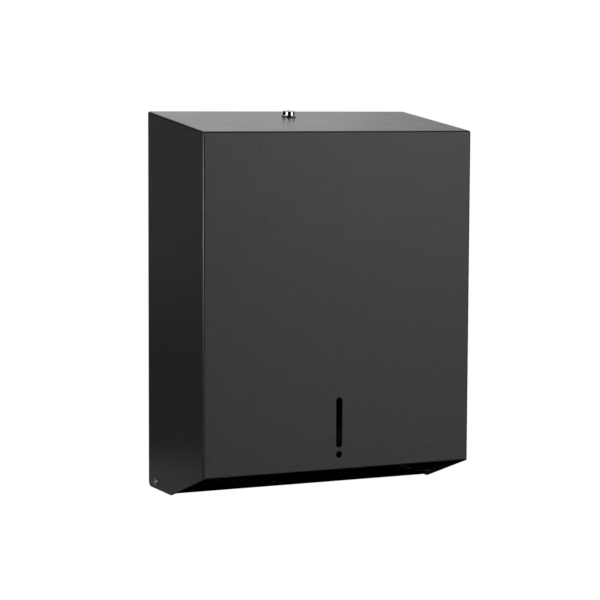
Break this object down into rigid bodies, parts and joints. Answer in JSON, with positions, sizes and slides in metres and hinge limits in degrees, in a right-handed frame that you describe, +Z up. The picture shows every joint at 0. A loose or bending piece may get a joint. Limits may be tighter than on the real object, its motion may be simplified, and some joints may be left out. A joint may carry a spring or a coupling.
{
  "type": "paper towel dispenser",
  "caption": "Wall-mounted sheet-steel dispenser for folded paper towels: a black cover with a sloping top and sight slot tips forward on hinge rivets, held by a cam lock.",
  "frame": {"origin": "middle of the four wall holes, on the wall plane", "axes": "+Z up, +Y into the wall (the front faces -Y), +X to the right seen from the front"},
  "size_m": [0.2788, 0.138, 0.3631],
  "materials": {
    "powder_coated_steel": "satin black powder coat with a fine texture",
    "zinc_plated_steel": "bright zinc plate",
    "bare_rivet_metal": "bare drawn metal",
    "nylon": "moulded, natural",
    "chrome_plate": "bright chrome plate",
    "brass": "stamped"
  },
  "bodies": {
    "chassis": {"back_plate": "powder_coated_steel", "towel_tray": "powder_coated_steel", "tray_rivets": "zinc_plated_steel", "strike": "zinc_plated_steel", "hinge_rivet_left": "bare_rivet_metal", "hinge_rivet_right": "bare_rivet_metal", "hinge_mandrel_left": "zinc_plated_steel", "hinge_mandrel_right": "zinc_plated_steel", "hinge_spacer_left": "nylon", "hinge_spacer_right": "nylon", "hinge_washer_left": "zinc_plated_steel", "hinge_washer_right": "zinc_plated_steel"},
    "cover": {"front_cover": "powder_coated_steel", "lock_barrel": "chrome_plate", "lock_washer": "zinc_plated_steel", "lock_nut": "zinc_plated_steel"},
    "lock_core": {"lock_plug": "chrome_plate", "lock_wafers": "brass", "lock_cam": "zinc_plated_steel", "cam_washer": "zinc_plated_steel", "cam_screw": "zinc_plated_steel"}
  },
  "joints": [
    {"name": "cover_hinge", "type": "hinge", "parent": "chassis", "child": "cover", "pos_m": [0, -0.02, -0.174], "axis": [1, 0, 0], "range_deg": [0, 105]},
    {"name": "lock_turn", "type": "hinge", "parent": "cover", "child": "lock_core", "pos_m": [-0.006, -0.0355, 0.17622], "axis": [0, -0.1231, 0.9924], "range_deg": [0, 90]}
  ]
}
